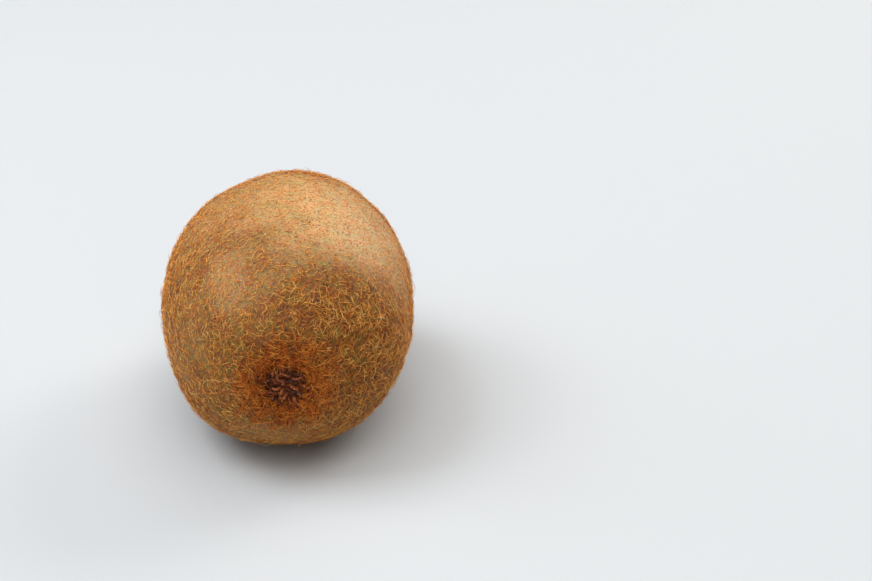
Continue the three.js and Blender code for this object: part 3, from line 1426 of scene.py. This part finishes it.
@dataclass(frozen=True)
class SkinFinish:
    """The skin between the hairs: brown and olive patches with felted down, rusty and with painted shade
    round the pit.

    Attributes:
        origin: where the middle of the fruit's axis is.
        brown: the skin's main colour.
        olive: where it is thin and the flesh shows through.
        dark: painted shade in the small hollows of the bumps and in the stem's hollow.
        felt: of the shortest down.
        pale: where the hairs are worn off; on the lit top, partly painted light and sheen.
        sage: there, where it is thin, with the same painted light.
        dot: of the corky dots all over.
        rust_and_shade: round the pit of the tuft, darkened partly as painted shade of the funnel.
        pit: painted shade in the pit.
        scar: of the stem's scar.
        cork: of the rim and the flecks of the scar.
        patch_size, fine_size, felt_size: size of the features of three noises.
        dot_spacing, dot_reach: mean distance of the dots, and their radius as a share of it.
        ends: how far from the middle of the axis the ends' colours begin and are full.
        edge_wander: how far the fine noise moves their edges.
        rust_and_shade_edge, pit_edge: distances from the axis at which these begin and are full.
        hollow_edge, scar_edge, rim_edge: the same for the stem's hollow, its scar and the scar's rim.
        relief: height of the bumps.
    """

    origin: Place
    brown: Colour = tint(104, 58, 16)
    olive: Colour = tint(104, 86, 22)
    dark: Colour = tint(44, 24, 6)
    felt: Colour = tint(176, 104, 34)
    pale: Colour = tint(216, 170, 114)
    sage: Colour = tint(192, 172, 116)
    dot: Colour = tint(92, 48, 18)
    rust_and_shade: Colour = tint(146, 66, 17)
    pit: Colour = tint(54, 22, 12)
    scar: Colour = tint(128, 88, 50)
    cork: Colour = tint(70, 42, 22)
    patch_size: float = 2.4
    fine_size: float = 1.1
    felt_size: float = 0.5
    dot_spacing: float = 0.62
    dot_reach: float = 0.27
    ends: Span = (20.0, 26.0)
    edge_wander: float = 3.0
    rust_and_shade_edge: Span = (8.0, 4.4)
    pit_edge: Span = (5.9, 4.6)
    hollow_edge: Span = (6.0, 3.2)
    scar_edge: Span = (3.6, 2.6)
    rim_edge: Span = (1.6, 3.0)
    relief: float = 0.2

    def from_axis(self, tree: FinishTree, place: Value) -> tuple[Value, Value]:
        """Distance from the fruit's long axis, and the place along it, both in millimetres.

        Args:
            tree: the material's tree.
            place: Object coordinates.

        Returns:
            The distance and the place.
        """
        inputs = {"Vector": place, "Location": tuple(-x for x in self.origin), "Scale": (1 / MM,) * 3}
        local = tree.node("ShaderNodeMapping", {}, inputs)
        off_axis = {0: local, 1: (1.0, 0.0, 1.0)}
        across = tree.node("ShaderNodeVectorMath", {"operation": "MULTIPLY"}, off_axis)
        distance = tree.node("ShaderNodeVectorMath", {"operation": "LENGTH"}, {0: across}, "Value")
        return distance, tree.part(local, "Y")

    def material(self) -> bpy.types.Material:
        """Makes the material: colours by noise at three scales, by the distance from the ends, and bumps.

        Returns:
            The material.
        """
        tree = FinishTree("kiwi_skin", Specular_IOR_Level=0.4)
        place = tree.place()
        wear = tree.node("ShaderNodeAttribute", {"attribute_name": WORN}, {}, "Fac")
        wear_and_light = wear.span(0.2, 1.0)
        distance, along = self.from_axis(tree, place)
        thin = tree.noise(place, self.patch_size, 4).span(0.38, 0.62)
        fine = tree.noise(place, self.fine_size, 4, 0.6)
        felt = tree.noise(place, self.felt_size, 2, 0.7)
        dots = tree.dots(place, self.dot_spacing, self.dot_reach)
        edge = distance + self.edge_wander * (fine - 0.5)
        begin, full = self.ends
        at_blossom, at_stem = along.span(-begin, -full), along.span(begin, full)
        flecks = (felt.span(0.4, 0.62) * 0.8).most(edge.span(*self.rim_edge) * 0.8)
        colour = tree.layered(
            tree.mix(thin, self.brown, self.olive),
            # Painted shade: dark where the fine noise is low, in the hollows of the bump map.
            (fine.span(0.55, 0.3) * 0.75, self.dark),
            # Worn skin is paler and shows more felt; on the lit top this is partly painted light and
            # sheen.
            (wear_and_light * 0.85, tree.mix(thin, self.pale, self.sage)),
            (felt.span(0.42, 0.62) * (0.25 + 0.35 * wear), self.felt),
            (dots * (0.3 + 0.6 * wear), self.dot),
            # The rusty colour round the pit is darkened partly as painted shade of the funnel, and the
            # pit's colour is painted shade.
            (at_blossom * edge.span(*self.rust_and_shade_edge) * 0.75, self.rust_and_shade),
            (at_blossom * edge.span(*self.pit_edge), self.pit),
            # Painted shade in the stem's hollow.
            (at_stem * edge.span(*self.hollow_edge) * 0.6, self.dark),
            (at_stem * edge.span(*self.scar_edge) * 0.9, tree.mix(flecks, self.scar, self.cork)),
        )
        tree.feed("Base Color", colour)
        tree.feed("Roughness", 0.68 - 0.26 * wear_and_light + 0.12 * fine)
        tree.feed("Normal", tree.bump(0.4 * fine + 0.6 * felt, self.relief))
        return tree.material


@dataclass(frozen=True)
class HairFinish:
    """Hairs whose tone runs across the map, and whose colour pales from root to tip up the map.

    Attributes:
        name: name of the material.
        tones: colours from the darkest hair to the palest.
        root: what the colour is darkened by at the root.
        shaded: share of the length that this darkens.
        roughness: how dull they are.
    """

    name: str
    tones: tuple[Colour, ...]
    root: Colour
    shaded: float = 0.7
    roughness: float = 0.42

    def material(self) -> bpy.types.Material:
        """Makes the material.

        Returns:
            The material.
        """
        tree = FinishTree(self.name, Roughness=self.roughness, Specular_IOR_Level=0.22)
        place = tree.map_place()
        colour = tree.bands(tree.part(place, "X"), self.tones)
        shade = tree.part(place, "Y").span(self.shaded, 0.0)
        tree.feed("Base Color", tree.mix(shade, colour, self.root, "MULTIPLY"))
        return tree.material


GOLDEN_HAIR = HairFinish(
    "golden_hair",
    (tint(84, 34, 8), tint(168, 82, 18), tint(235, 138, 40), tint(252, 174, 72), tint(254, 204, 112)),
    tint(180, 136, 92),
)
RUSTY_HAIR = HairFinish(
    "rusty_hair",
    (tint(100, 38, 8), tint(176, 82, 18), tint(224, 126, 38), tint(246, 170, 74)),
    tint(200, 150, 110),
)


@dataclass(frozen=True)
class StyleFinish:
    """Dead styles: nearly black to rusty brown from one to the next and along each, with painted
    highlights.

    Attributes:
        tones: colours from the darkest to the palest.
        hollow_shade: painted shade in the small hollows of the bumps.
        worn: pale flecks on the tops of the bumps, painted highlights.
        spot_size, grain_size: size of the features of two noises.
        relief: height of the bumps.
    """

    tones: tuple[Colour, ...] = (tint(28, 14, 8), tint(72, 34, 16), tint(128, 60, 27), tint(188, 112, 62))
    hollow_shade: Colour = tint(22, 13, 9)
    worn: Colour = tint(172, 136, 102)
    spot_size: float = 0.6
    grain_size: float = 0.24
    relief: float = 0.12

    def material(self) -> bpy.types.Material:
        """Makes the material: the tone across the map and by noise, painted shade and highlights by noise.

        Returns:
            The material.
        """
        tree = FinishTree("dried_styles", Roughness=0.75, Specular_IOR_Level=0.25)
        tone = tree.part(tree.map_place(), "X")
        place = tree.place()
        spots = tree.noise(place, self.spot_size, 3, 0.65)
        grain = tree.noise(place, self.grain_size, 2, 0.6)
        colour = tree.layered(
            tree.bands(0.85 * tone + 1.5 * (spots - 0.41), self.tones),
            # Painted shade in the hollows, where the grain that makes the bumps is low.
            (grain.span(0.5, 0.34) * 0.8, self.hollow_shade),
            # Painted highlights: pale flecks where the grain is high, on the bumps' tops.
            (grain.span(0.57, 0.7) * 0.55, self.worn),
        )
        tree.feed("Base Color", colour)
        tree.feed("Roughness", 0.6 + 0.35 * spots)
        tree.feed("Normal", tree.bump(grain, self.relief))
        return tree.material


# ---- Studio ----
def set_down(name: str, data: bpy.types.ID, place: Numbers, axes: Sequence[Numbers]) -> bpy.types.Object:
    """Puts a lamp or a camera into the scene.

    Args:
        name: its name.
        data: its settings.
        place: where it stands, in metres.
        axes: directions of its own X, Y and Z.

    Returns:
        Its object.
    """
    made = bpy.data.objects.new(name, data)
    turn = Matrix(np.stack(axes, 1).tolist()).to_4x4()
    made.matrix_world = Matrix.Translation(place.tolist()) @ turn
    bpy.context.scene.collection.objects.link(made)
    return made


@dataclass(frozen=True)
class SoftLight:
    """A square soft light that faces a target.

    Attributes:
        name: its name.
        place: where its middle is, in metres.
        size: length of its side, in metres.
        power: its power in watts.
        colour: its colour.
    """

    name: str
    place: Place
    size: float
    power: float
    colour: Colour

    def build(self, target: Numbers) -> None:
        """Makes the light, turned to face the target.

        Args:
            target: the target, in metres.
        """
        data = bpy.data.lights.new(self.name, "AREA")
        data.size = self.size
        data.energy = self.power
        data.color = self.colour
        place = np.array(self.place)
        back = unit(place - target)
        side = unit(np.cross((0.0, 1.0, 0.001), back))  # a little off Y, which a light may lie along
        set_down(self.name, data, place, [side, np.cross(back, side), back])


@dataclass
class Studio:
    """A pale floor, soft light and the camera.

    Attributes:
        lens, sensor: focal length of the camera, and the width of its sensor.
        distance: from the camera to the middle of the fruit, along the camera's axis.
        elevation: how far the camera looks down.
        yaw: how far it is turned to the right of +Y.
        nearest: how near it sees things, in metres.
        picture: width and height of the picture, in pixels.
        fruit_middle: where the middle of the fruit falls in it, from its top left corner.
        floor_half: half the width of the floor, in metres.
        floor_colour: its colour.
        lights: the soft lights.
        sky, sky_strength: colour and strength of the light from all round.
    """

    lens: float = 70.0
    sensor: float = 36.0
    distance: float = 347.4
    elevation: float = 27.1
    yaw: float = 3.24
    nearest: float = 0.01
    picture: tuple[int, int] = (872, 581)
    fruit_middle: Span = (289.1, 300.5)
    floor_half: float = 1.5
    floor_colour: Colour = (0.485, 0.5, 0.515)
    lights: tuple[SoftLight, ...] = (
        SoftLight("right_window", (0.60, 0.74, 0.52), 0.7, 2.4, (1.0, 0.97, 0.92)),
        SoftLight("right_back", (0.75, 0.50, 0.60), 0.5, 4.1, (1.0, 0.97, 0.92)),
        SoftLight("back_window", (0.05, 0.60, 0.95), 0.6, 1.2, (1.0, 0.99, 0.98)),
        SoftLight("low_back", (0.0, 1.2, 0.4), 0.8, 0.7, (1.0, 0.99, 0.98)),
        SoftLight("left_back", (-0.80, 0.25, 0.55), 0.5, 1.5, (0.92, 0.97, 1.0)),
        SoftLight("left_window", (-0.78, -0.41, 0.65), 0.5, 0.8, (0.90, 0.96, 1.0)),
        SoftLight("left_high", (-0.6, 0.0, 0.9), 0.6, 6.7, (0.94, 0.97, 1.0)),
        SoftLight("front_high", (0.0, -0.7, 0.9), 0.7, 3.4, (1.0, 0.96, 0.9)),
        SoftLight("front_low", (0.1, -1.0, 0.3), 0.6, 1.5, (1.0, 0.9, 0.78)),
        SoftLight("ceiling", (0.0, -0.1, 1.3), 1.5, 11.2, (1.0, 0.99, 0.98)),
    )
    sky: Colour = (0.93, 0.96, 1.0)
    sky_strength: float = 0.15

    def build_camera(self, middle: Numbers) -> None:
        """Makes the camera, so that the middle of the fruit falls where it should in the picture.

        Args:
            middle: the middle of the fruit's box, in metres.
        """
        e, a = np.radians(self.elevation), np.radians(self.yaw)
        forward = np.array([np.cos(e) * np.sin(a), np.cos(e) * np.cos(a), -np.sin(e)])
        right = np.array([np.cos(a), -np.sin(a), 0.0])
        up = np.cross(right, forward)
        reach = self.distance * MM
        per_pixel = reach * self.sensor / self.lens / self.picture[0]
        aside = (self.fruit_middle[0] - self.picture[0] / 2) * per_pixel
        above = (self.picture[1] / 2 - self.fruit_middle[1]) * per_pixel
        place = middle - reach * forward - aside * right - above * up
        data = bpy.data.cameras.new("camera")
        data.lens = self.lens
        data.sensor_width = self.sensor
        data.clip_start = self.nearest
        bpy.context.scene.camera = set_down("camera", data, place, [right, up, -forward])

    def build_floor(self) -> None:
        """Makes the floor, a wide square at z = 0."""
        half = self.floor_half / MM
        corners = np.array([[-half, -half, 0], [half, -half, 0], [half, half, 0], [-half, half, 0]])
        floor = make_object("floor", corners, [np.array([[0, 1, 2, 3]])])
        paper = FinishTree(
            "pale_paper", Base_Color=self.floor_colour, Roughness=0.9, Specular_IOR_Level=0.2
        )
        floor.data.materials.append(paper.material)

    def build(self) -> None:
        """Makes the whole studio."""
        middle = np.mean(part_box("fruit"), 0)
        self.build_camera(middle)
        self.build_floor()
        for light in self.lights:
            light.build(middle)
        world = bpy.data.worlds.new("studio")
        world.use_nodes = True
        background = world.node_tree.nodes["Background"]
        background.inputs["Color"].default_value = (*self.sky, 1.0)
        background.inputs["Strength"].default_value = self.sky_strength
        bpy.context.scene.world = world
        bpy.context.scene.view_settings.view_transform = "Standard"


def main() -> None:
    """Builds the studio, the skin, the styles and the hairs, in that order."""
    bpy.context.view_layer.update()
    Studio().build()
    skin = skin_in_frame(FruitShape())
    hand_over(FruitSkin(skin).build(), Slot.SKIN, SkinFinish(skin.origin).material(), "fruit")
    withered = StyleFinish().material()
    hand_over(StyleTuft(skin).build(), Slot.STYLES, withered, "style_tuft")
    fur = Fur(skin)
    hand_over(fur.pit_coat(fur.shreds).build(), Slot.STYLES, withered)
    golden = GOLDEN_HAIR.material()
    for coat in fur.coats():
        hand_over(coat.build(), Slot.SKIN, golden)
    hand_over(fur.pit_coat(fur.fringe).build(), Slot.SKIN, RUSTY_HAIR.material())


if __name__ == "__main__":
    logging.basicConfig(level=logging.INFO, format="%(name)s %(message)s")
    main()
